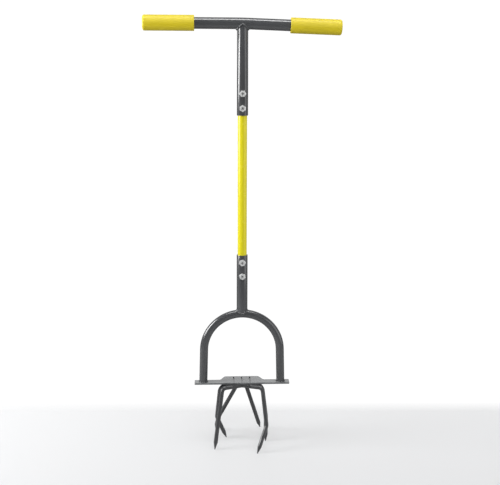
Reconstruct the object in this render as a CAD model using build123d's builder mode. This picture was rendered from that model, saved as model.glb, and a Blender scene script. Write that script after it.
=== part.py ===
from build123d import *
import math
import os

os.makedirs("parts", exist_ok=True)

# A two-handed lawn aerator fork, in millimetres. X runs along the handlebar, Y runs from the
# front of the tool to its back, and Z is up. The origin is on the ground, under the shaft.

# --- Shaft and handlebar ---
OUTER_D = 25.0               # handlebar, upper shaft and lower shaft tubes
OUTER_WALL = 2.0
INNER_D = 20.6               # middle tube, a slip fit in the outer tubes
INNER_WALL = 1.5
HANDLEBAR_Z = 968.5          # height of the handlebar's centre line
HANDLEBAR_WIDTH = 434.0      # over the two grips
HANDLEBAR_FALL_LEFT = 0.2    # the left half runs this many degrees downhill to the right
HANDLEBAR_FALL_RIGHT = 2.1   # and the right half this many, from the pull of the weld
HANDLEBAR_BEND_R = 600.0     # easy bend over the joint between the two halves
HANDLEBAR_SLIDE = -0.13      # centres the two tilted ends over the shaft
UPPER_END_Z = 770.0          # lower end of the upper shaft tube
LOWER_END_Z = 453.5          # upper end of the lower shaft tube

GRIP_LENGTH = 112.0
GRIP_D = 34.0
GRIP_END_WALL = 4.0          # closed outer end of the sleeve
GRIP_END_ROUND = 4.5
GRIP_MOUTH_ROUND = 1.2

# --- Cross bolts, M8 ---
BOLT_D = 8.0
BOLT_HOLE_D = 8.6
BOLT_PITCH = 32.0
BOLT_EDGE = 16.0             # from a tube's end to its first bolt
HEX_FLATS = 13.0
HEAD_HEIGHT = 5.3
NUT_HEIGHT = 6.5
BOLT_STICK_OUT = 3.0         # thread that shows beyond the nut
RECESS_LENGTH = 7.0
RECESS_WIDTH = 1.5
RECESS_DEPTH = 2.4
CHAMFER_R = 6.1              # flat left on a hexagon's face inside its chamfer
CHAMFER_SLOPE = 1.73         # the chamfer's run for each unit of its depth
THREAD_GAP = 0.02
HEX_TURNS = (0, 30, 12, 41)  # how far each head was left turned, in degrees
NUT_TURN = 17                # how much further round each nut stopped

# --- Bail and foot plate ---
BAIL_D = 19.0
BAIL_WALL = 1.5
BAIL_RADIUS = 88.5           # centre line of the crown
BAIL_ARC_Z = 225.5           # centre of the crown's arc
BAIL_FLARE = 1.5             # outward lean of each leg, in degrees

PLATE_TOP_Z = 148.5
PLATE_THICKNESS = 4.0
PLATE_LENGTH = 222.0
PLATE_WIDTH = 22.0           # the strip under the bail's legs
TREAD_BACK_Y = 34.0          # the widened middle reaches this far back
TREAD_HALF = 40.0            # half width of the middle at its back edge
TREAD_FOOT_HALF = 50.5       # half width where the middle leaves the strip
TREAD_ROUND = 6.0
PLATE_CORNER_ROUND = 2.0
SLOT_PITCH = 19.0            # three blind grip slots run from front to back
SLOT_WIDTH = 3.0
SLOT_DEPTH = 2.6
SLOT_FRONT_Y = -8.5
SLOT_BACK_Y = 30.0

# --- Tines ---
TINE_D = 9.5
TINE_POINT_LENGTH = 15.5
TINE_POINT_R = 1.0
TINE_BEND = 10.0             # centre-line radius under the plate
WIDE_BEND = 20.0             # the middle rod's easier bends
KNEE_BEND = 18.0
FRONT_ROD_Y = -5.2           # where each rod crosses the middle of the plate
ROD_SPACING = 10.0

# --- Weld beads ---
SADDLE_BEAD_R = 2.0
CROWN_BEAD_R = 2.8
CROWN_BEAD_INSET = 1.2       # the bead's centre line lies this far inside the shaft's surface
FOOT_BEAD_R = 1.4
ROD_BEAD_R = 2.3
ROD_BEAD_DROP = 0.6          # from the plate's underside to the bead's centre line
ROD_BEAD_OFFSET = 4.0        # from the rod's centre line to the bead's, seen from above

OUTER_R = OUTER_D / 2
BAIL_R = BAIL_D / 2
TINE_R = TINE_D / 2
CROWN_Z = BAIL_ARC_Z + BAIL_RADIUS
PLATE_BOTTOM_Z = PLATE_TOP_Z - PLATE_THICKNESS
ROD_Z = PLATE_BOTTOM_Z - TINE_R
SHAFT_INSERT = BOLT_EDGE + BOLT_PITCH + BOLT_EDGE
SADDLE_RISE = -OUTER_R       # the T joint's saddle falls away from its peak
CROWN_RISE = 9.0             # the crown joint's notch climbs away from its low point
BOLT_HEIGHTS = (
    UPPER_END_Z + BOLT_EDGE + BOLT_PITCH,
    UPPER_END_Z + BOLT_EDGE,
    LOWER_END_Z - BOLT_EDGE,
    LOWER_END_Z - BOLT_EDGE - BOLT_PITCH,
)


def write(part, name):
    """Label a finished piece and write it to its own file."""
    part.label = name
    export_step(part, f"parts/{name}.step")


def bolt_holes(heights):
    """Cut a cross hole through the tube being built at each height."""
    with Locations(*[Location((0, 0, z), (90, 0, 0)) for z in heights]):
        Cylinder(BOLT_HOLE_D / 2, 2 * OUTER_D, mode=Mode.SUBTRACT)


def make_saddle_bead(peak_z, rise, bead_r, inset=0.0):
    """A weld bead along the two half ellipses where a notched shaft meets a cross tube."""
    seam_r = OUTER_R - inset
    with BuildPart() as bead:
        for side in (1, -1):
            half_ellipse = Plane(origin=(0, 0, peak_z), x_dir=(side * OUTER_R, 0, rise),
                                 z_dir=(-rise, 0, side * OUTER_R))
            with BuildLine(half_ellipse) as seam:
                EllipticalCenterArc((0, 0), math.hypot(seam_r, rise), seam_r, -90, arc_size=180)
            with BuildSketch(Plane(origin=seam.line @ 0, z_dir=seam.line % 0)):
                Circle(bead_r)
            sweep(path=seam.line)
        with Locations((0, -seam_r, peak_z), (0, seam_r, peak_z)):
            Sphere(bead_r)
    return bead.part


# ================= Handlebar =================

BAR_HALF = HANDLEBAR_WIDTH / 2 - GRIP_END_WALL
bar_peak = Vector(HANDLEBAR_SLIDE, 0, HANDLEBAR_Z)
fall_left = math.radians(HANDLEBAR_FALL_LEFT)
fall_right = math.radians(HANDLEBAR_FALL_RIGHT)
to_left = Vector(-math.cos(fall_left), 0, math.sin(fall_left))
to_right = Vector(math.cos(fall_right), 0, -math.sin(fall_right))

with BuildLine() as bar_path:
    FilletPolyline(bar_peak + to_left * BAR_HALF, bar_peak, bar_peak + to_right * BAR_HALF,
                   radius=HANDLEBAR_BEND_R)

with BuildPart() as handlebar_tube:
    with BuildSketch(Plane(origin=bar_path.line @ 0, z_dir=bar_path.line % 0)):
        Circle(OUTER_R)
        Circle(OUTER_R - OUTER_WALL, mode=Mode.SUBTRACT)
    sweep(path=bar_path.line)
write(handlebar_tube.part, "handlebar_tube")

# The handlebar's solid outline, which the shaft and its weld are notched around.
with BuildPart() as handlebar_solid:
    with BuildSketch(Plane(origin=bar_path.line @ 0, z_dir=bar_path.line % 0)):
        Circle(OUTER_R)
    sweep(path=bar_path.line)


def make_grip(outward):
    """A closed-end sleeve whose rounded end faces away from the shaft."""
    mouth = Plane(origin=bar_peak + outward * (HANDLEBAR_WIDTH / 2 - GRIP_LENGTH),
                  x_dir=(0, 1, 0), z_dir=outward)
    with BuildPart() as grip:
        with BuildSketch(mouth):
            Circle(GRIP_D / 2)
        extrude(amount=GRIP_LENGTH)
        rims = grip.edges().filter_by(GeomType.CIRCLE).sort_by(Axis.X, reverse=outward.X < 0)
        fillet(rims[-1], GRIP_END_ROUND)
        fillet(rims[0], GRIP_MOUTH_ROUND)
        with BuildSketch(mouth):
            Circle(OUTER_R)
        extrude(amount=GRIP_LENGTH - GRIP_END_WALL, mode=Mode.SUBTRACT)
    return grip.part


write(make_grip(to_left), "grip_left")
write(make_grip(to_right), "grip_right")


# ================= Shaft =================

LOBE_END = 2.5               # the fish-mouth's lobes stop this far under the bar's centre line

with BuildPart() as upper_shaft_tube:
    with BuildSketch(Plane.XY.offset(UPPER_END_Z)):
        Circle(OUTER_R)
        Circle(OUTER_R - OUTER_WALL, mode=Mode.SUBTRACT)
    extrude(amount=HANDLEBAR_Z - LOBE_END - UPPER_END_Z)
    add(handlebar_solid.part, mode=Mode.SUBTRACT)
    bolt_holes(BOLT_HEIGHTS[:2])
write(upper_shaft_tube.part, "upper_shaft_tube")

handlebar_bead = make_saddle_bead(HANDLEBAR_Z, SADDLE_RISE, SADDLE_BEAD_R)

with BuildPart() as handlebar_weld:
    add(handlebar_bead)
    add(handlebar_solid.part, mode=Mode.SUBTRACT)
    with BuildSketch(Plane.XY.offset(UPPER_END_Z)):
        Circle(OUTER_R)
    extrude(amount=HANDLEBAR_Z - UPPER_END_Z, mode=Mode.SUBTRACT)
write(handlebar_weld.part, "handlebar_weld")

with BuildPart() as middle_shaft_tube:
    with BuildSketch(Plane.XY.offset(LOWER_END_Z - SHAFT_INSERT)):
        Circle(INNER_D / 2)
        Circle(INNER_D / 2 - INNER_WALL, mode=Mode.SUBTRACT)
    extrude(amount=UPPER_END_Z - LOWER_END_Z + 2 * SHAFT_INSERT)
    bolt_holes(BOLT_HEIGHTS)
write(middle_shaft_tube.part, "middle_shaft_tube")


# ================= Cross bolts =================


def make_bolt(height, turn):
    """A hex-head bolt with a cross recess, through the shaft from front to back."""
    under_head = Plane(origin=(0, -OUTER_R, height), x_dir=(1, 0, 0), z_dir=(0, -1, 0))
    head_top = under_head.offset(HEAD_HEIGHT)
    with BuildPart() as bolt:
        with BuildSketch(under_head):
            RegularPolygon(HEX_FLATS / 2, 6, major_radius=False, rotation=turn)
        extrude(amount=HEAD_HEIGHT)
        with Locations(under_head.location):
            Cone(CHAMFER_R + HEAD_HEIGHT * CHAMFER_SLOPE, CHAMFER_R, HEAD_HEIGHT,
                 align=(Align.CENTER, Align.CENTER, Align.MIN), mode=Mode.INTERSECT)
        with BuildSketch(head_top):
            Rectangle(RECESS_LENGTH, RECESS_WIDTH, rotation=turn)
            Rectangle(RECESS_WIDTH, RECESS_LENGTH, rotation=turn)
        extrude(amount=-RECESS_DEPTH / 2, mode=Mode.SUBTRACT)
        with Locations(head_top.location):
            Cone(RECESS_WIDTH / 2, RECESS_LENGTH / 3, RECESS_DEPTH,
                 align=(Align.CENTER, Align.CENTER, Align.MAX), mode=Mode.SUBTRACT)
        with BuildSketch(under_head):
            Circle(BOLT_D / 2)
        extrude(amount=-(OUTER_D + NUT_HEIGHT + BOLT_STICK_OUT))
        thread_end = bolt.faces().sort_by(Axis.Y)[-1]
        chamfer(thread_end.edges(), BOLT_D / 8)
    return bolt.part


def make_nut(height, turn):
    """The bolt's nut, chamfered on both faces, against the back of the shaft."""
    seat = Plane(origin=(0, OUTER_R, height), x_dir=(-1, 0, 0), z_dir=(0, 1, 0))
    with BuildPart() as nut:
        with BuildSketch(seat):
            RegularPolygon(HEX_FLATS / 2, 6, major_radius=False, rotation=turn)
        extrude(amount=NUT_HEIGHT)
        for start_r, end_r in ((CHAMFER_R, CHAMFER_R + NUT_HEIGHT * CHAMFER_SLOPE),
                               (CHAMFER_R + NUT_HEIGHT * CHAMFER_SLOPE, CHAMFER_R)):
            with Locations(seat.location):
                Cone(start_r, end_r, NUT_HEIGHT, mode=Mode.INTERSECT,
                     align=(Align.CENTER, Align.CENTER, Align.MIN))
        with BuildSketch(seat):
            Circle(BOLT_D / 2 + THREAD_GAP)
        extrude(amount=NUT_HEIGHT, mode=Mode.SUBTRACT)
    return nut.part


for number, (height, turn) in enumerate(zip(BOLT_HEIGHTS, HEX_TURNS), start=1):
    write(make_bolt(height, turn), f"shaft_bolt_{number}")
    write(make_nut(height, turn + NUT_TURN), f"shaft_nut_{number}")


# ================= Bail =================

flare = math.radians(BAIL_FLARE)
ARC_END_X = BAIL_RADIUS * math.cos(flare)
ARC_END_Z = BAIL_ARC_Z + BAIL_RADIUS * math.sin(flare)
FOOT_X = ARC_END_X + (ARC_END_Z - PLATE_TOP_Z) * math.tan(flare)
LEG_OVERRUN = 3.0            # cut off flat at the plate's top

# The solid outline of the bail, which other pieces are notched around.
with BuildPart() as bail_solid:
    with BuildLine(Plane.XZ) as bail_path:
        overrun_x = FOOT_X + LEG_OVERRUN * math.tan(flare)
        Line((overrun_x, PLATE_TOP_Z - LEG_OVERRUN), (ARC_END_X, ARC_END_Z))
        CenterArc((0, BAIL_ARC_Z), BAIL_RADIUS, BAIL_FLARE, 180 - 2 * BAIL_FLARE)
        Line((-ARC_END_X, ARC_END_Z), (-overrun_x, PLATE_TOP_Z - LEG_OVERRUN))
    with BuildSketch(Plane(origin=bail_path.line @ 0, z_dir=bail_path.line % 0)):
        Circle(BAIL_R)
    sweep(path=bail_path.line)
    split(bisect_by=Plane.XY.offset(PLATE_TOP_Z), keep=Keep.TOP)

with BuildPart() as bail_tube:
    with BuildSketch(Plane(origin=bail_path.line @ 0, z_dir=bail_path.line % 0)):
        Circle(BAIL_R)
        Circle(BAIL_R - BAIL_WALL, mode=Mode.SUBTRACT)
    sweep(path=bail_path.line)
    split(bisect_by=Plane.XY.offset(PLATE_TOP_Z), keep=Keep.TOP)
write(bail_tube.part, "bail_tube")

NOTCH_REACH = OUTER_R + 2.0
NOTCH_TOP = CROWN_Z + CROWN_RISE * NOTCH_REACH / OUTER_R


# The wedge-shaped space under the V that the shaft's lower end is trimmed to.
with BuildPart() as crown_notch:
    with BuildSketch(Plane.XZ.offset(-NOTCH_REACH)):
        with BuildLine():
            Polyline((0, CROWN_Z), (NOTCH_REACH, NOTCH_TOP), (NOTCH_REACH, CROWN_Z - NOTCH_REACH),
                     (-NOTCH_REACH, CROWN_Z - NOTCH_REACH), (-NOTCH_REACH, NOTCH_TOP), close=True)
        make_face()
    extrude(amount=2 * NOTCH_REACH)

with BuildPart() as lower_shaft_tube:
    with BuildSketch(Plane.XY.offset(CROWN_Z)):
        Circle(OUTER_R)
        Circle(OUTER_R - OUTER_WALL, mode=Mode.SUBTRACT)
    extrude(amount=LOWER_END_Z - CROWN_Z)
    add(crown_notch.part, mode=Mode.SUBTRACT)
    add(bail_solid.part, mode=Mode.SUBTRACT)
    bolt_holes(BOLT_HEIGHTS[2:])
write(lower_shaft_tube.part, "lower_shaft_tube")

with BuildPart() as lower_shaft_solid:
    with BuildSketch(Plane.XY.offset(CROWN_Z)):
        Circle(OUTER_R)
    extrude(amount=LOWER_END_Z - CROWN_Z)
    add(crown_notch.part, mode=Mode.SUBTRACT)

crown_bead = make_saddle_bead(CROWN_Z, CROWN_RISE, CROWN_BEAD_R, CROWN_BEAD_INSET)

with BuildPart() as bail_crown_weld:
    add(crown_bead)
    add(lower_shaft_solid.part, mode=Mode.SUBTRACT)
    add(bail_solid.part, mode=Mode.SUBTRACT)
write(bail_crown_weld.part, "bail_crown_weld")

for side, side_name in ((-1, "left"), (1, "right")):
    with BuildPart() as foot_weld:
        with Locations((side * FOOT_X, 0, PLATE_TOP_Z)):
            Torus(BAIL_R, FOOT_BEAD_R)
        split(bisect_by=Plane.XY.offset(PLATE_TOP_Z), keep=Keep.TOP)
        add(bail_solid.part, mode=Mode.SUBTRACT)
    with BuildPart() as foot_bore:
        with Locations((side * FOOT_X, 0, PLATE_TOP_Z)):
            Cylinder(BAIL_R - BAIL_WALL / 2, 2 * BAIL_D)
    write(foot_weld.part - foot_bore.part, f"bail_foot_weld_{side_name}")


# ================= Foot plate =================

with BuildPart() as foot_plate:
    with BuildSketch(Plane.XY.offset(PLATE_BOTTOM_Z)) as outline:
        with BuildLine():
            Polyline(
                (-PLATE_LENGTH / 2, -PLATE_WIDTH / 2), (PLATE_LENGTH / 2, -PLATE_WIDTH / 2),
                (PLATE_LENGTH / 2, PLATE_WIDTH / 2), (TREAD_FOOT_HALF, PLATE_WIDTH / 2),
                (TREAD_HALF, TREAD_BACK_Y), (-TREAD_HALF, TREAD_BACK_Y),
                (-TREAD_FOOT_HALF, PLATE_WIDTH / 2), (-PLATE_LENGTH / 2, PLATE_WIDTH / 2),
                close=True)
        make_face()
        middle_corners = outline.vertices().filter_by_position(
            Axis.X, -TREAD_FOOT_HALF - 1, TREAD_FOOT_HALF + 1)
        fillet(middle_corners, TREAD_ROUND)
        end_corners = outline.vertices().group_by(Axis.X)
        fillet(end_corners[0] + end_corners[-1], PLATE_CORNER_ROUND)
    extrude(amount=PLATE_THICKNESS)
    with BuildSketch(Plane.XY.offset(PLATE_TOP_Z)):
        with Locations(*[(column * SLOT_PITCH, (SLOT_FRONT_Y + SLOT_BACK_Y) / 2)
                         for column in (-1, 0, 1)]):
            SlotOverall(SLOT_BACK_Y - SLOT_FRONT_Y, SLOT_WIDTH, rotation=90)
    extrude(amount=-SLOT_DEPTH, mode=Mode.SUBTRACT)
write(foot_plate.part, "foot_plate")


# ================= Tines =================


def make_tine_rod(points, radii):
    """A round rod along the points, with both ends drawn out to blunt points on the ground."""
    corners = [Vector(*point) for point in points]
    lean_in = (corners[1] - corners[0]).normalized()
    lean_out = (corners[-2] - corners[-1]).normalized()
    shoulder_in = corners[0] + lean_in * TINE_POINT_LENGTH
    shoulder_out = corners[-1] + lean_out * TINE_POINT_LENGTH
    with BuildPart() as rod:
        with BuildLine() as path:
            FilletPolyline(shoulder_in, *corners[1:-1], shoulder_out, radius=radii)
        with BuildSketch(Plane(origin=path.line @ 0, z_dir=path.line % 0)):
            Circle(TINE_R)
        sweep(path=path.line)
        for tip, lean in ((corners[0], lean_in), (corners[-1], lean_out)):
            with Locations(Plane(origin=tip, z_dir=lean).location):
                Cone(TINE_POINT_R, TINE_R, TINE_POINT_LENGTH,
                     align=(Align.CENTER, Align.CENTER, Align.MIN))
            with Locations(tip):
                Sphere(TINE_POINT_R)
    return rod.part


TIP_Z = TINE_POINT_R         # the rounded tips rest on the ground
MIDDLE_ROD_Y = FRONT_ROD_Y + ROD_SPACING
REAR_ROD_Y = MIDDLE_ROD_Y + ROD_SPACING
TIP_REACH_Y = 76.5           # how far the front right and the rear tips stand from the shaft
REAR_FLAT_HALF = 8.0         # straight top of the rear rod

# Where each rod crosses the plate's middle and where it turns down, seen from above.
FRONT_PEAK = (0, FRONT_ROD_Y)
FRONT_TURN_LEFT = (-46, -24)
FRONT_TURN_RIGHT = (47, -23)
MIDDLE_PEAK = (0, MIDDLE_ROD_Y)
MIDDLE_TURN_LEFT = (-50.5, 2.5)
MIDDLE_TURN_RIGHT = (47.5, 5.5)
REAR_FLAT_LEFT = (-REAR_FLAT_HALF, REAR_ROD_Y)
REAR_FLAT_RIGHT = (REAR_FLAT_HALF, REAR_ROD_Y)

# The knees partway down four of the legs.
FRONT_KNEE_RIGHT = (56, -47.5, 56)
MIDDLE_KNEE_LEFT = (-59, 11, 55.5)
MIDDLE_KNEE_RIGHT = (57.5, 5, 58)
REAR_KNEE_LEFT = (-56, 50.5, 36.5)

# The six points on the ground.
FRONT_TIP_LEFT = (-64.5, -51, TIP_Z)
FRONT_TIP_RIGHT = (33.5, -TIP_REACH_Y, TIP_Z)
MIDDLE_TIP_LEFT = (-36.5, 17, TIP_Z)
MIDDLE_TIP_RIGHT = (56.5, -6.5, TIP_Z)
REAR_TIP_LEFT = (-61.5, 67.5, TIP_Z)
REAR_TIP_RIGHT = (47.5, TIP_REACH_Y, TIP_Z)


def under_plate(point):
    """A point on a rod's centre line where the rod lies against the plate."""
    return (*point, ROD_Z)


front_rod = make_tine_rod(
    (FRONT_TIP_LEFT, under_plate(FRONT_TURN_LEFT), under_plate(FRONT_PEAK),
     under_plate(FRONT_TURN_RIGHT), FRONT_KNEE_RIGHT, FRONT_TIP_RIGHT),
    (TINE_BEND, TINE_BEND, TINE_BEND, KNEE_BEND))
middle_rod = make_tine_rod(
    (MIDDLE_TIP_LEFT, MIDDLE_KNEE_LEFT, under_plate(MIDDLE_TURN_LEFT), under_plate(MIDDLE_PEAK),
     under_plate(MIDDLE_TURN_RIGHT), MIDDLE_KNEE_RIGHT, MIDDLE_TIP_RIGHT),
    (KNEE_BEND, WIDE_BEND, TINE_BEND, WIDE_BEND, KNEE_BEND))
rear_rod = make_tine_rod(
    (REAR_TIP_LEFT, REAR_KNEE_LEFT, under_plate(REAR_FLAT_LEFT), under_plate(REAR_FLAT_RIGHT),
     REAR_TIP_RIGHT),
    (KNEE_BEND, TINE_D, TINE_D))
write(front_rod, "tine_rod_front")
write(middle_rod, "tine_rod_middle")
write(rear_rod, "tine_rod_rear")


# ================= Rod welds =================


def make_rod_beads(flanks):
    """Straight weld beads, each along one side of a rod in the corner under the plate.

    A flank is the rod's start and end seen from above, how far along it the bead runs, and the
    side of the rod that the bead is on: 1 to the left of that direction and -1 to the right.
    """
    with BuildPart() as beads:
        for start, end, reach, side in flanks:
            along = (Vector(*end) - Vector(*start)).normalized()
            across = Vector(-along.Y, along.X) * side * ROD_BEAD_OFFSET
            level = Vector(0, 0, PLATE_BOTTOM_Z - ROD_BEAD_DROP)
            bead_start = Vector(*start) + along * reach[0] + across + level
            bead_end = Vector(*start) + along * reach[1] + across + level
            with BuildLine() as run:
                Line(bead_start, bead_end)
            with BuildSketch(Plane(origin=bead_start, z_dir=along)):
                Circle(ROD_BEAD_R)
            sweep(path=run.line)
            with Locations(bead_start, bead_end):
                Sphere(ROD_BEAD_R)
        split(bisect_by=Plane.XY.offset(PLATE_BOTTOM_Z), keep=Keep.BOTTOM)
        for rod in (front_rod, middle_rod, rear_rod):
            add(rod, mode=Mode.SUBTRACT)
    return beads.part


FRONT_BEAD_LEFT = (9, 22)    # where each bead starts and ends, along its rod from the middle
FRONT_BEAD_RIGHT = (10, 19)
MIDDLE_BEAD_LEFT = (20, 38)
MIDDLE_BEAD_RIGHT = (20, 36)
REAR_BEAD = (3, 13)

write(make_rod_beads(((FRONT_PEAK, FRONT_TURN_LEFT, FRONT_BEAD_LEFT, 1),
                      (FRONT_PEAK, FRONT_TURN_RIGHT, FRONT_BEAD_RIGHT, -1))), "tine_weld_front")
write(make_rod_beads(((MIDDLE_PEAK, MIDDLE_TURN_LEFT, MIDDLE_BEAD_LEFT, -1),
                      (MIDDLE_PEAK, MIDDLE_TURN_RIGHT, MIDDLE_BEAD_RIGHT, 1))), "tine_weld_middle")
write(make_rod_beads(((REAR_FLAT_LEFT, REAR_FLAT_RIGHT, REAR_BEAD, 1),)), "tine_weld_rear")
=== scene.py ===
import math

import bmesh
import bpy
from mathutils import Euler, Matrix, Vector, noise


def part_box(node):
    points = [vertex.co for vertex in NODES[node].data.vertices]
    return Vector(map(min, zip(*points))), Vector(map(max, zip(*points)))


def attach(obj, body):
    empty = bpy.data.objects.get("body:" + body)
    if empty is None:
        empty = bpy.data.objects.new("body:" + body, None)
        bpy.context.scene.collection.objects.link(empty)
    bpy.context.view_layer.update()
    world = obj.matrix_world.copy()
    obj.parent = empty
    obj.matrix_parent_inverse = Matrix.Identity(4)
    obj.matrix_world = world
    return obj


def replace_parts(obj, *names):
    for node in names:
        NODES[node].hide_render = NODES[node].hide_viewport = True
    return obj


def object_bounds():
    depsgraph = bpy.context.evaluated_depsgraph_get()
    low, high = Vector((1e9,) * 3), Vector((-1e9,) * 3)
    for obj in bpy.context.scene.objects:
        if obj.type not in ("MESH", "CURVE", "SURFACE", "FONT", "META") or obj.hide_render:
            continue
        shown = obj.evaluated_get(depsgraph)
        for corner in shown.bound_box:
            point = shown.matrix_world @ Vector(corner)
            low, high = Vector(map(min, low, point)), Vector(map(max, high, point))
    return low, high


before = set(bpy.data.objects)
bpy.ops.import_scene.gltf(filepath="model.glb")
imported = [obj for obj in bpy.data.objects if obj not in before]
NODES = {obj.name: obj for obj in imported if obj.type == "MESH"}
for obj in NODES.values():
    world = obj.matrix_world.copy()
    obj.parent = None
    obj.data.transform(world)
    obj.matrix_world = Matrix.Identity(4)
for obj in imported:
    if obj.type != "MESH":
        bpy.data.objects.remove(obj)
CAD_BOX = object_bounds()
MM = 0.001

# ---------------------------------------------------------------- camera

TALL = CAD_BOX[1].z

CAMERA_DISTANCE = 2.1100 * TALL            # from the shaft's axis, along the floor
CAMERA_HEIGHT = 0.9373 * TALL
CAMERA_TURN = math.radians(-2.0)           # the left end of the handlebar is the nearer one
CAMERA_PITCH = math.radians(12.0)
CAMERA_ROLL = math.radians(0.22)           # it was held very slightly out of level
CAMERA_ASIDE = math.radians(0.49)          # the tool stands a little left of the picture's middle
SENSOR_WIDTH = 36.0
LENS = 67.2


def make_camera():
    """A camera at standing height that looks slightly down at the tool."""
    data = bpy.data.cameras.new("camera")
    data.sensor_width = SENSOR_WIDTH
    data.lens = LENS
    camera = bpy.data.objects.new("camera", data)
    camera.location = (CAMERA_DISTANCE * math.sin(CAMERA_TURN),
                       -CAMERA_DISTANCE * math.cos(CAMERA_TURN), CAMERA_HEIGHT)
    aim = Euler((math.pi / 2 - CAMERA_PITCH, 0, CAMERA_TURN - CAMERA_ASIDE)).to_matrix()
    camera.rotation_euler = (aim @ Matrix.Rotation(CAMERA_ROLL, 3, "Z")).to_euler()
    bpy.context.scene.collection.objects.link(camera)
    bpy.context.scene.camera = camera


# ---------------------------------------------------------------- studio

FLOOR_RADIUS = 40.0
FLOOR_SEGMENTS = 48
FLOOR_LINE = 0.215           # the floor runs out into white this far behind the shaft
FLOOR_LINE_SOFTNESS = 0.035
FLOOR_FRONT = -0.45          # it is darkest from here on towards the camera
FLOOR_EDGE = (0.7, 1.7)      # between these distances it runs out into white on every side
BACKGROUND_WHITE = 1.03
FLOOR_BOUNCE = 0.25          # the share of the floor's glow that lights the tool
FLOOR_GLOW = (0.28, 0.38)    # at its darkest and at its far edge
FLOOR_PAPER = (0.35, 0.353, 0.36)
FLOOR_ROUGHNESS = 0.55
FLOOR_SHEEN = 0.2

WORLD_FRONT = 0.11           # light from the camera's side and from above
WORLD_BACK = 1.10            # light from the bright backdrop
BACKDROP_EDGE = 0.45         # the backdrop's glow starts here, as the Y part of a direction
BACKDROP_FULL = 0.95         # and is at its strongest from here


def make_floor(material):
    """A wide round floor under the tool."""
    mesh = bpy.data.meshes.new("studio_floor")
    work = bmesh.new()
    bmesh.ops.create_circle(work, cap_ends=True, radius=FLOOR_RADIUS, segments=FLOOR_SEGMENTS)
    work.to_mesh(mesh)
    work.free()
    mesh.materials.append(material)
    floor = bpy.data.objects.new("studio_floor", mesh)
    bpy.context.scene.collection.objects.link(floor)


def add_area_light(name, location, target, size, power):
    """A soft rectangular light aimed at a point."""
    data = bpy.data.lights.new(name, "AREA")
    data.shape = "RECTANGLE"
    data.size, data.size_y = size
    data.energy = power
    light = bpy.data.objects.new(name, data)
    light.location = location
    light.rotation_euler = (Vector(target) - Vector(location)).to_track_quat("-Z", "Y").to_euler()
    bpy.context.scene.collection.objects.link(light)
    return light


def make_world():
    """White behind the tool, with dimmer surroundings on the camera's side."""
    world = bpy.data.worlds.new("studio")
    world.use_nodes = True
    tree = world.node_tree
    background = tree.nodes["Background"]
    background.inputs["Color"].default_value = (1, 1, 1, 1)
    direction = tree.nodes.new("ShaderNodeTexCoord").outputs["Generated"]
    split = tree.nodes.new("ShaderNodeSeparateXYZ")
    tree.links.new(direction, split.inputs["Vector"])
    spread = tree.nodes.new("ShaderNodeMapRange")
    spread.inputs["From Min"].default_value = BACKDROP_EDGE
    spread.inputs["From Max"].default_value = BACKDROP_FULL
    spread.inputs["To Min"].default_value = WORLD_FRONT
    spread.inputs["To Max"].default_value = WORLD_BACK
    tree.links.new(split.outputs["Y"], spread.inputs["Value"])
    seen = tree.nodes.new("ShaderNodeMix")
    tree.links.new(tree.nodes.new("ShaderNodeLightPath").outputs["Is Camera Ray"],
                   seen.inputs["Factor"])
    tree.links.new(spread.outputs["Result"], seen.inputs[2])
    seen.inputs[3].default_value = BACKGROUND_WHITE
    tree.links.new(seen.outputs[0], background.inputs["Strength"])
    bpy.context.scene.world = world


MIDDLE_SHARE = 0.65          # most lights aim this far up the tool


def add_back_fill(name, location, target):
    """A soft light for the back of the tool that leaves no highlights."""
    fill = add_area_light(name, location, target, size=(1.8, 1.8), power=11)
    fill.visible_glossy = False


def make_lighting():
    """A tall softbox on the left, a bank overhead, a front light and weak fills all round."""
    make_world()
    middle = (0, 0, TALL * MIDDLE_SHARE)
    add_area_light("softbox_left", location=(-1.62, -0.17, 1.05), target=(0, 0, 1.05),
                   size=(0.80, 1.15), power=38)
    add_area_light("softbox_top", location=(0.0, -0.20, 2.35), target=middle,
                   size=(2.0, 0.55), power=18)
    strip = add_area_light("strip_top", location=(0.0, -0.24, 2.34), target=middle,
                           size=(2.0, 0.40), power=11)
    strip.visible_diffuse = False
    front = add_area_light("softbox_front", location=(0.4, -2.1, 2.0), target=middle,
                           size=(3.0, 2.0), power=44)
    front.visible_glossy = False
    add_back_fill("fill_back_right", (1.9, 0.7, 1.3), middle)
    add_back_fill("fill_back_left", (-1.6, 1.5, 1.3), middle)
    add_area_light("fill_right", location=(1.60, -0.75, 0.75), target=middle,
                   size=(1.4, 1.6), power=9)


# ---------------------------------------------------------------- material helpers


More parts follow.
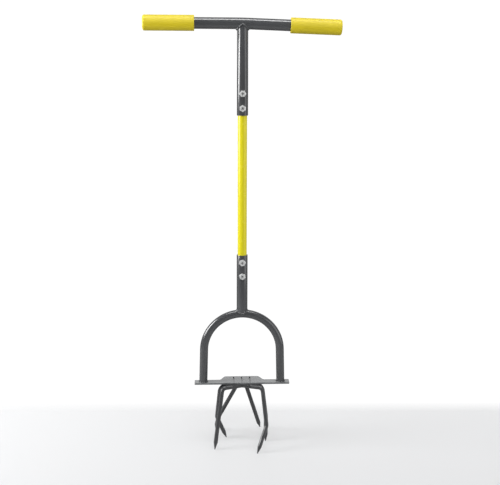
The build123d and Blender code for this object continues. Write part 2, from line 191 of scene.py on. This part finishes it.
class NodeGraph:
    """Short calls for building one material's node tree."""

    def __init__(self, name):
        self.material = bpy.data.materials.new(name)
        self.material.use_nodes = True
        self.tree = self.material.node_tree
        self.shader = self.tree.nodes["Principled BSDF"]
        self.place = self.tree.nodes.new("ShaderNodeTexCoord").outputs["Object"]

    def link(self, source, target):
        self.tree.links.new(source, target)

    def noise(self, scale, detail=3.0, roughness=0.5, place=None):
        """A grey noise pattern, about 0.5 on average."""
        node = self.tree.nodes.new("ShaderNodeTexNoise")
        node.inputs["Scale"].default_value = scale
        node.inputs["Detail"].default_value = detail
        node.inputs["Roughness"].default_value = roughness
        self.link(place or self.place, node.inputs["Vector"])
        return node.outputs["Fac"]

    def spread(self, value, low, high, to_low=0.0, to_high=1.0):
        """Map a range of one value onto another, clamped."""
        node = self.tree.nodes.new("ShaderNodeMapRange")
        node.inputs["From Min"].default_value = low
        node.inputs["From Max"].default_value = high
        node.inputs["To Min"].default_value = to_low
        node.inputs["To Max"].default_value = to_high
        self.link(value, node.inputs["Value"])
        return node.outputs["Result"]

    def maths(self, operation, first, second):
        """Combine two values with one of the maths node's operations."""
        node = self.tree.nodes.new("ShaderNodeMath")
        node.operation = operation
        self.link(first, node.inputs[0])
        self.link(second, node.inputs[1])
        return node.outputs["Value"]

    def crevice(self, reach):
        """1 on open surfaces, less in corners and recesses."""
        node = self.tree.nodes.new("ShaderNodeAmbientOcclusion")
        node.inputs["Distance"].default_value = reach
        return node.outputs["AO"]

    def mix(self, share, low, high):
        """Blend two colours, each a tuple or a socket."""
        node = self.tree.nodes.new("ShaderNodeMix")
        node.data_type = "RGBA"
        self.link(share, node.inputs["Factor"])
        for socket, colour in ((node.inputs[6], low), (node.inputs[7], high)):
            if isinstance(colour, tuple):
                socket.default_value = (*colour, 1.0)
            else:
                self.link(colour, socket)
        return node.outputs[2]

    def bump(self, height, distance, strength=1.0, below=None):
        """A bump of the given height in metres, laid over an earlier one."""
        node = self.tree.nodes.new("ShaderNodeBump")
        node.inputs["Distance"].default_value = distance
        node.inputs["Strength"].default_value = strength
        self.link(height, node.inputs["Height"])
        if below is not None:
            self.link(below, node.inputs["Normal"])
        return node.outputs["Normal"]

    def set(self, **values):
        """Set shader sockets, named with _ for spaces, to numbers, colours or node outputs."""
        for name, value in values.items():
            socket = self.shader.inputs[name.replace("_", " ")]
            if isinstance(value, bpy.types.NodeSocket):
                self.link(value, socket)
            elif isinstance(value, tuple):
                socket.default_value = (*value, 1.0)
            else:
                socket.default_value = value
        return self


# ---------------------------------------------------------------- materials


SOFT_CONTRAST = (0.35, 0.65)  # the part of a noise's range that is stretched to its full range
WIDE_CONTRAST = (0.3, 0.7)


def make_floor_material():
    """Pale floor paper that lightens into the white backdrop behind the tool."""
    graph = NodeGraph("studio_floor")
    turn = graph.tree.nodes.new("ShaderNodeVectorRotate")
    turn.rotation_type = "Z_AXIS"
    turn.inputs["Angle"].default_value = -CAMERA_TURN
    graph.link(graph.place, turn.inputs["Vector"])
    split = graph.tree.nodes.new("ShaderNodeSeparateXYZ")
    graph.link(turn.outputs["Vector"], split.inputs["Vector"])
    depth = split.outputs["Y"]
    near = graph.spread(depth, FLOOR_FRONT, FLOOR_LINE)
    seen = graph.tree.nodes.new("ShaderNodeLightPath").outputs["Is Camera Ray"]
    bounce = graph.spread(seen, 0, 1, FLOOR_BOUNCE, 1.0)
    glow = graph.tree.nodes.new("ShaderNodeEmission")
    strength = graph.maths("MULTIPLY", graph.spread(near, 0, 1, *FLOOR_GLOW), bounce)
    graph.link(strength, glow.inputs["Strength"])
    graph.set(Base_Color=FLOOR_PAPER, Roughness=FLOOR_ROUGHNESS, Specular_IOR_Level=FLOOR_SHEEN)
    lit = graph.tree.nodes.new("ShaderNodeAddShader")
    graph.link(graph.shader.outputs["BSDF"], lit.inputs[0])
    graph.link(glow.outputs["Emission"], lit.inputs[1])
    white = graph.tree.nodes.new("ShaderNodeEmission")
    graph.link(graph.spread(bounce, 0, 1, 0, BACKGROUND_WHITE), white.inputs["Strength"])
    fade = graph.tree.nodes.new("ShaderNodeMixShader")
    behind = graph.spread(depth, FLOOR_LINE - FLOOR_LINE_SOFTNESS,
                          FLOOR_LINE + FLOOR_LINE_SOFTNESS)
    span = graph.tree.nodes.new("ShaderNodeVectorMath")
    span.operation = "LENGTH"
    graph.link(graph.place, span.inputs[0])
    around = graph.spread(span.outputs["Value"], *FLOOR_EDGE)
    graph.link(graph.maths("MAXIMUM", behind, around), fade.inputs["Fac"])
    graph.link(lit.outputs["Shader"], fade.inputs[1])
    graph.link(white.outputs["Emission"], fade.inputs[2])
    graph.link(fade.outputs["Shader"], graph.tree.nodes["Material Output"].inputs["Surface"])
    return graph.material


# Noise scales are in cells per metre, and bump heights in metres.
DRIFT_SCALE = 9
PEEL_SCALE = 900             # orange peel, about a millimetre across
PEEL_HEIGHT = 0.000003
SPECKLE_SCALE = 4200
SPECKLE_HEIGHT = 0.0000008
SPECKLE_STRENGTH = 0.8
HAZE_SCALE = 60
HAZE_DOWN = 0.03             # roughness varies between these either side of its own value
HAZE_UP = 0.05
SCUFF_SCALE = 260
SCUFF_START = 0.60           # only the noise's highest patches are scuffed
SCUFF_FULL = 0.70
SCUFF_LIFT = 1.8             # how much lighter a scuff is than the paint
SCUFF_ROUGH = 0.35
DUST = (0.16, 0.155, 0.145)
DUST_REACH = 2.5 * MM
DUST_OPENNESS = (0.35, 0.75)  # dusty below the first, clean above the second
DUST_SHARE = 0.10


def make_paint(name, dark, light, roughness, gloss=0.9, peel=1.0, worn=0.3):
    """Powder coat: slight tone drift, orange peel, fine speckle, scuffs and dusty corners."""
    graph = NodeGraph(name)
    drift = graph.spread(graph.noise(DRIFT_SCALE, 4), *SOFT_CONTRAST)
    fresh = graph.mix(drift, dark, light)
    scuffs = graph.spread(graph.noise(SCUFF_SCALE, 9, 0.72), SCUFF_START, SCUFF_FULL, 0, worn)
    scuffed = graph.mix(scuffs, fresh, tuple(channel * SCUFF_LIFT for channel in light))
    dusty = graph.spread(graph.crevice(DUST_REACH), *DUST_OPENNESS, DUST_SHARE, 0)
    colour = graph.mix(dusty, scuffed, DUST)
    orange_peel = graph.noise(PEEL_SCALE, 2, 0.45)
    speckle = graph.noise(SPECKLE_SCALE, 1, 0.5)
    peeled = graph.bump(orange_peel, PEEL_HEIGHT * peel)
    normal = graph.bump(speckle, SPECKLE_HEIGHT * peel, SPECKLE_STRENGTH, peeled)
    haze = graph.spread(graph.noise(HAZE_SCALE, 5, 0.6), *WIDE_CONTRAST,
                        roughness - HAZE_DOWN, roughness + HAZE_UP)
    rough = graph.maths("ADD", haze, graph.spread(scuffs, 0, 1, 0, SCUFF_ROUGH))
    graph.set(Base_Color=colour, Roughness=rough, Normal=normal, Specular_IOR_Level=gloss)
    return graph.material


ZINC_DULL = (0.62, 0.63, 0.63)
ZINC_BRIGHT = (0.92, 0.93, 0.92)
# painted shade: the near-black colour put into the bolts' recesses
ZINC_RECESS_SHADE = (0.05, 0.05, 0.048)
ZINC_METALLIC = 0.5          # fresh plating scatters about half of its light
ZINC_ROUGHNESS = (0.24, 0.42)
MOTTLE_SCALE = 500
SMEAR_SCALE = 1500
GRAIN_SCALE = 2500
GRAIN_HEIGHT = 0.00003
# how far the recesses' painted shade reaches, and the occlusion range over which it fades out
RECESS_SHADE_REACH = 3 * MM
RECESS_SHADE_OPENNESS = (0.45, 0.95)


def make_zinc():
    """Bright zinc plating with a faint mottled spangle, and painted shade: near-black colour in
    its recesses.
    """
    graph = NodeGraph("zinc_fastener")
    mottle = graph.spread(graph.noise(MOTTLE_SCALE, 4), *WIDE_CONTRAST)
    plating = graph.mix(mottle, ZINC_DULL, ZINC_BRIGHT)
    # painted shade: the colour turns near-black where ambient occlusion finds a recess
    open_share = graph.spread(graph.crevice(RECESS_SHADE_REACH), *RECESS_SHADE_OPENNESS)
    colour = graph.mix(open_share, ZINC_RECESS_SHADE, plating)
    rough = graph.spread(graph.noise(SMEAR_SCALE, 3), *WIDE_CONTRAST, *ZINC_ROUGHNESS)
    normal = graph.bump(graph.noise(GRAIN_SCALE, 2), GRAIN_HEIGHT)
    graph.set(Base_Color=colour, Metallic=ZINC_METALLIC, Roughness=rough, Normal=normal)
    return graph.material


VINYL_DARK = (0.585, 0.47, 0.0015)
VINYL_LIGHT = (0.63, 0.505, 0.002)
VINYL_SMUDGE = (0.36, 0.30, 0.01)
VINYL_DRIFT_SCALE = 14
VINYL_ROUGHNESS = (0.46, 0.58)
VINYL_SHEEN = 0.55
VINYL_HAZE_SCALE = 120
SMUDGE_SCALE = 45
SMUDGE_PATCHES = (0.58, 0.75)  # the noise's range over which a smudge builds up
SMUDGE_SHARE = 0.12
PEBBLE_SCALE = 1800
PEBBLE_HEIGHT = 0.000008


def make_grip_material():
    """Soft yellow vinyl with a fine pebbled skin and faint hand smudges."""
    graph = NodeGraph("grip_vinyl")
    drift = graph.spread(graph.noise(VINYL_DRIFT_SCALE, 3), *SOFT_CONTRAST)
    clean = graph.mix(drift, VINYL_DARK, VINYL_LIGHT)
    smudge = graph.spread(graph.noise(SMUDGE_SCALE, 6, 0.65), *SMUDGE_PATCHES, 0, SMUDGE_SHARE)
    colour = graph.mix(smudge, clean, VINYL_SMUDGE)
    normal = graph.bump(graph.noise(PEBBLE_SCALE, 2, 0.6), PEBBLE_HEIGHT)
    rough = graph.spread(graph.noise(VINYL_HAZE_SCALE, 4), *WIDE_CONTRAST, *VINYL_ROUGHNESS)
    graph.set(Base_Color=colour, Roughness=rough, Normal=normal, Specular_IOR_Level=VINYL_SHEEN)
    return graph.material


def give(material, *names):
    """Put one material on each named node."""
    for name in names:
        slots = NODES[name].data.materials
        slots.clear()
        slots.append(material)


# ---------------------------------------------------------------- weld beads

BEAD_SIDES = 18
BEAD_SECTIONS = 300
RIPPLE_PITCH = 2.0 * MM      # from one ripple of a weld to the next
RIPPLE_DEPTH = 0.17          # as a share of the bead's radius
RIPPLE_TRAIL = 0.30          # how far a ripple's edges lag behind its middle, in ripples
BEAD_WANDER = 0.16           # slow swelling and thinning, as a share of the radius
WANDER_LENGTH = 5 * MM
PEAK_EASE = 0.16             # rounds the seam where it turns over a tube's side


def make_mesh_object(name, points, faces, material):
    """A smooth-shaded mesh that belongs to the tool."""
    mesh = bpy.data.meshes.new(name)
    mesh.from_pydata(points, [], faces)
    mesh.shade_smooth()
    mesh.materials.append(material)
    piece = bpy.data.objects.new(name, mesh)
    bpy.context.scene.collection.objects.link(piece)
    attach(piece, "root")
    return piece


def make_bead(name, seam, bead_r, node):
    """A rippled weld bead round a closed seam, in place of the plain one."""
    centres = [seam(math.tau * step / BEAD_SECTIONS) for step in range(BEAD_SECTIONS)]
    lengths = [(centres[step] - centres[step - 1]).length for step in range(BEAD_SECTIONS)]
    ripples = round(sum(lengths) / RIPPLE_PITCH)
    hub = sum(centres, Vector()) / BEAD_SECTIONS
    points = []
    run = 0.0
    for step, centre in enumerate(centres):
        along = (centres[(step + 1) % BEAD_SECTIONS] - centres[step - 1]).normalized()
        outward = Vector((centre.x - hub.x, centre.y - hub.y, 0)).normalized()
        across = along.cross(outward).normalized()
        run += lengths[step]
        phase = ripples * run / sum(lengths)
        swell = 1 + BEAD_WANDER * noise.noise(centre / WANDER_LENGTH)
        for side in range(BEAD_SIDES):
            angle = math.tau * side / BEAD_SIDES
            ripple = abs(math.sin(math.pi * (phase + RIPPLE_TRAIL * math.cos(angle))))
            radius = bead_r * swell * (1 - RIPPLE_DEPTH * (1 - ripple))
            points.append(centre + (outward * math.cos(angle) + across * math.sin(angle)) * radius)
    faces = []
    for step in range(BEAD_SECTIONS):
        here = step * BEAD_SIDES
        there = (step + 1) % BEAD_SECTIONS * BEAD_SIDES
        for side in range(BEAD_SIDES):
            beside = (side + 1) % BEAD_SIDES
            faces.append((here + side, here + beside, there + beside, there + side))
    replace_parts(make_mesh_object(name, points, faces, GRAPHITE), node)


def saddle_seam(node, bead_r, rise, peak_z):
    """The seam between the shaft and a tube that crosses it, as a function of the angle."""
    low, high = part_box(node)
    seam_r = (high.y - low.y) / 2 - bead_r

    def seam(angle):
        height = math.hypot(math.cos(angle), PEAK_EASE)
        return Vector((seam_r * math.cos(angle), seam_r * math.sin(angle), peak_z + rise * height))
    return seam


def ring_seam(node, bead_r):
    """The round seam where a leg of the bail stands on the plate."""
    low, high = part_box(node)
    middle = (low + high) / 2
    seam_r = (high.y - low.y) / 2 - bead_r

    def seam(angle):
        return Vector((middle.x + seam_r * math.cos(angle), seam_r * math.sin(angle), low.z))
    return seam


SADDLE_BEAD_R = 2.0 * MM
CROWN_BEAD_R = 2.8 * MM
FOOT_BEAD_R = 1.4 * MM
SADDLE_RISE = -12.5 * MM     # the seam falls this far from the bar's side to its underside
CROWN_RISE = 8.4 * MM        # and climbs this far from the crown's side over its top
BEAD_FULLER = 1.25           # hand-laid beads are a little fatter than the plain ones


def make_welds():
    """Rippled beads at both ends of the shaft and round the bail's feet."""
    bar_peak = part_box("handlebar_weld")[1].z - SADDLE_BEAD_R
    bar_seam = saddle_seam("handlebar_weld", SADDLE_BEAD_R, SADDLE_RISE, bar_peak)
    make_bead("bead_handlebar", bar_seam, SADDLE_BEAD_R * BEAD_FULLER, "handlebar_weld")
    crown_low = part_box("bail_crown_weld")[1].z - CROWN_BEAD_R - CROWN_RISE
    crown_seam = saddle_seam("bail_crown_weld", CROWN_BEAD_R, CROWN_RISE, crown_low)
    make_bead("bead_crown", crown_seam, CROWN_BEAD_R, "bail_crown_weld")
    for side in ("left", "right"):
        node = f"bail_foot_weld_{side}"
        make_bead(f"bead_foot_{side}", ring_seam(node, FOOT_BEAD_R),
                  FOOT_BEAD_R * BEAD_FULLER, node)


# ---------------------------------------------------------------- bolt threads

THREAD_PITCH = 1.25 * MM
THREAD_HEIGHT = 0.35 * MM
THREAD_R = 4.0 * MM
THREAD_STEPS = 40            # for each turn
THREAD_END = 1.0 * MM        # the bolt's chamfer stays bare
THREAD_FOOT = 0.378 * THREAD_PITCH   # from a ridge's crest to either foot
THREAD_SINK = 0.6 * THREAD_HEIGHT    # each foot lies this far inside the shank
THREAD_FADE_STEPS = 8        # the ridge rises and runs out over this many steps


def make_thread(number):
    """The helical thread that shows between a nut and the end of its bolt."""
    bolt_low, bolt_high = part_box(f"shaft_bolt_{number}")
    axis_z = (bolt_low.z + bolt_high.z) / 2
    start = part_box(f"shaft_nut_{number}")[1].y
    turns = (bolt_high.y - THREAD_END - start) / THREAD_PITCH
    count = round(turns * THREAD_STEPS)
    profile = ((-THREAD_FOOT, -THREAD_SINK), (0.0, THREAD_HEIGHT), (THREAD_FOOT, -THREAD_SINK))
    points = []
    for step in range(count + 1):
        angle = math.tau * step / THREAD_STEPS
        fade = min(1.0, step / THREAD_FADE_STEPS, (count - step) / THREAD_FADE_STEPS)
        for shift, height in profile:
            radius = THREAD_R + (height * fade if height > 0 else height)
            points.append((radius * math.cos(angle),
                           start + THREAD_PITCH * step / THREAD_STEPS + shift,
                           axis_z + radius * math.sin(angle)))
    faces = []
    for step in range(count):
        here = 3 * step
        for corner in range(3):
            beside = (corner + 1) % 3
            faces.append((here + corner, here + 3 + corner, here + 3 + beside, here + beside))
    faces.append((0, 1, 2))
    faces.append((3 * count + 2, 3 * count + 1, 3 * count))
    make_mesh_object(f"thread_{number}", points, faces, ZINC)


# ---------------------------------------------------------------- edges

EDGE_ROUND = {"foot_plate": 0.7 * MM, "upper_shaft_tube": 0.35 * MM,
              "lower_shaft_tube": 0.35 * MM, "bail_tube": 0.2 * MM}
EDGE_ANGLE = math.radians(35)
EDGE_SEGMENTS = 3
JOIN_DISTANCE = 0.002 * MM

LUMP_SIZE = 2.2 * MM
LUMP_HEIGHT = 0.9 * MM
LUMP_VOXEL = 0.4 * MM


def ease_edges():
    """Break the sharp edges of the sheared plate and the sawn tubes."""
    for name, width in EDGE_ROUND.items():
        node = NODES[name]
        weld = node.modifiers.new("join", "WELD")
        weld.merge_threshold = JOIN_DISTANCE
        bevel = node.modifiers.new("edges", "BEVEL")
        bevel.width = width
        bevel.segments = EDGE_SEGMENTS
        bevel.limit_method = "ANGLE"
        bevel.angle_limit = EDGE_ANGLE
        bevel.harden_normals = True


def roughen_rod_welds():
    """Turn the plain beads under the plate into lumpy hand-laid ones."""
    lumps = bpy.data.textures.new("weld_lumps", "CLOUDS")
    lumps.noise_scale = LUMP_SIZE
    for name in ("tine_weld_front", "tine_weld_middle", "tine_weld_rear"):
        node = NODES[name]
        remesh = node.modifiers.new("remesh", "REMESH")
        remesh.mode = "VOXEL"
        remesh.voxel_size = LUMP_VOXEL
        remesh.use_smooth_shade = True
        displace = node.modifiers.new("lumps", "DISPLACE")
        displace.texture = lumps
        displace.texture_coords = "LOCAL"
        displace.strength = LUMP_HEIGHT


# ---------------------------------------------------------------- build

GRAPHITE = make_paint("graphite_paint", dark=(0.045, 0.047, 0.050), light=(0.053, 0.055, 0.059),
                      roughness=0.20)
PLATE = make_paint("plate_paint", dark=(0.130, 0.136, 0.140), light=(0.162, 0.168, 0.173),
                   roughness=0.22, worn=0.5)
TINE = make_paint("tine_paint", dark=(0.030, 0.031, 0.033), light=(0.040, 0.0415, 0.044),
                  roughness=0.34, worn=0.6)
YELLOW = make_paint("yellow_paint", dark=(0.64, 0.57, 0.010), light=(0.69, 0.61, 0.014),
                    roughness=0.24, gloss=0.45, peel=0.8)
ZINC = make_zinc()
GRIP = make_grip_material()

give(GRAPHITE, "handlebar_tube", "upper_shaft_tube", "lower_shaft_tube", "bail_tube",
     "handlebar_weld", "bail_crown_weld", "bail_foot_weld_left", "bail_foot_weld_right")
give(PLATE, "foot_plate")
give(TINE, "tine_rod_front", "tine_rod_middle", "tine_rod_rear",
     "tine_weld_front", "tine_weld_middle", "tine_weld_rear")
give(YELLOW, "middle_shaft_tube")
give(ZINC, *[f"shaft_{kind}_{number}" for kind in ("bolt", "nut") for number in range(1, 5)])
give(GRIP, "grip_left", "grip_right")

make_welds()
for number in range(1, 5):
    make_thread(number)
ease_edges()
roughen_rod_welds()

make_camera()
make_floor(make_floor_material())
make_lighting()

bpy.context.scene.view_settings.view_transform = "Standard"
